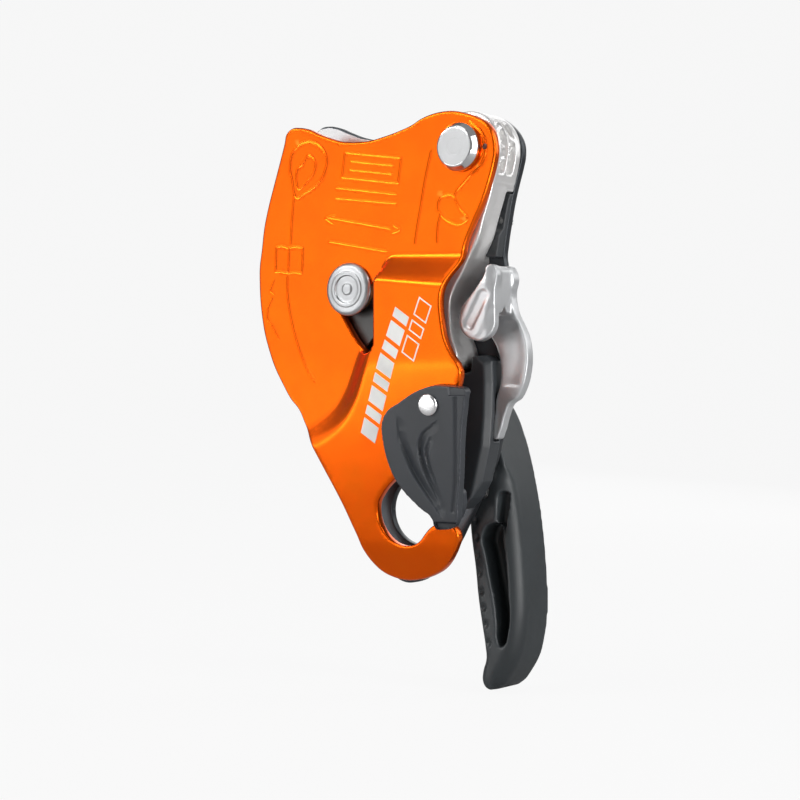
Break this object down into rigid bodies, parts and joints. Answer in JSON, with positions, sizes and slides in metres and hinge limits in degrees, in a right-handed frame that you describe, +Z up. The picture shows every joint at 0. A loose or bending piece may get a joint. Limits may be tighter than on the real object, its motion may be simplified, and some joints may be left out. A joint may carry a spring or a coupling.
{
  "type": "rope descender",
  "caption": "Hand-held rope descender and ascender: two joggled side plates, an eccentric brake cam, a V-notched friction spur, a sprung gate over the connector hook and a rear lever.",
  "frame": {"origin": "centre of the round connector eye, at the middle of the fixed side plate's thickness", "axes": "+X towards the pivot and spur edge, +Y from the front plate through the fixed plate to the lever, +Z up from the connector eye to the rope entry"},
  "size_m": [0.0948, 0.048, 0.1835],
  "materials": {
    "orange_anodised": "satin anodised",
    "dark_anodised": "satin anodised",
    "stainless": "turned and brushed",
    "stainless_cast": "fine blasted",
    "polished_steel": "polished",
    "bronze": "machined",
    "black_plastic": "matte moulded",
    "grey_plastic": "matte moulded",
    "grey_nylon": "fine moulded texture",
    "spring_steel": "drawn wire"
  },
  "bodies": {
    "frame": {"fixed_side_plate": "dark_anodised", "wear_liner": "stainless", "friction_block": "stainless_cast", "edge_guard": "grey_plastic", "inner_guard": "black_plastic", "braking_spur": "stainless_cast", "main_pivot_pin": "polished_steel", "pivot_washer": "bronze", "cam_axle": "stainless", "axle_washer": "stainless", "axle_nut": "stainless", "block_rivets": "stainless", "spur_rivets": "stainless", "guard_screws": "stainless"},
    "front_plate": {"mobile_side_plate": "orange_anodised", "gate_pin": "stainless"},
    "gate_latch": {"gate": "grey_nylon", "gate_spring": "spring_steel"},
    "brake_cam": {"cam": "stainless_cast", "cam_bush": "bronze", "cam_drive_pin": "stainless", "cam_spring": "spring_steel"},
    "lever": {"lever_arm": "stainless", "lever_bush": "bronze", "handle": "grey_nylon", "handle_rivets": "stainless", "lever_spring": "spring_steel"}
  },
  "joints": [
    {"name": "plate_swing", "type": "hinge", "parent": "frame", "child": "front_plate", "pos_m": [0.0264, -0.017, 0.1132], "axis": [0, 1, 0], "range_deg": [0, 95]},
    {"name": "gate_swing", "type": "hinge", "parent": "front_plate", "child": "gate_latch", "pos_m": [0.0188, -0.02194, 0.0346], "axis": [0, 0.9888, 0.1495], "range_deg": [0, 25], "stiffness_Nm_per_rad": 0.02, "springref_deg": -20.05, "deforming": ["gate_spring"]},
    {"name": "cam_turn", "type": "hinge", "parent": "frame", "child": "brake_cam", "pos_m": [-0.0154, -0.009, 0.0709], "axis": [0, -1, 0], "range_deg": [-20, 4], "stiffness_Nm_per_rad": 0.02, "springref_deg": 4.01, "deforming": ["cam_spring"]},
    {"name": "lever_swing", "type": "hinge", "parent": "brake_cam", "child": "lever", "pos_m": [-0.0154, 0.006, 0.0709], "axis": [0, -1, 0], "range_deg": [0, 85], "stiffness_Nm_per_rad": 0.02, "springref_deg": -11.46, "deforming": ["lever_spring"]}
  ]
}
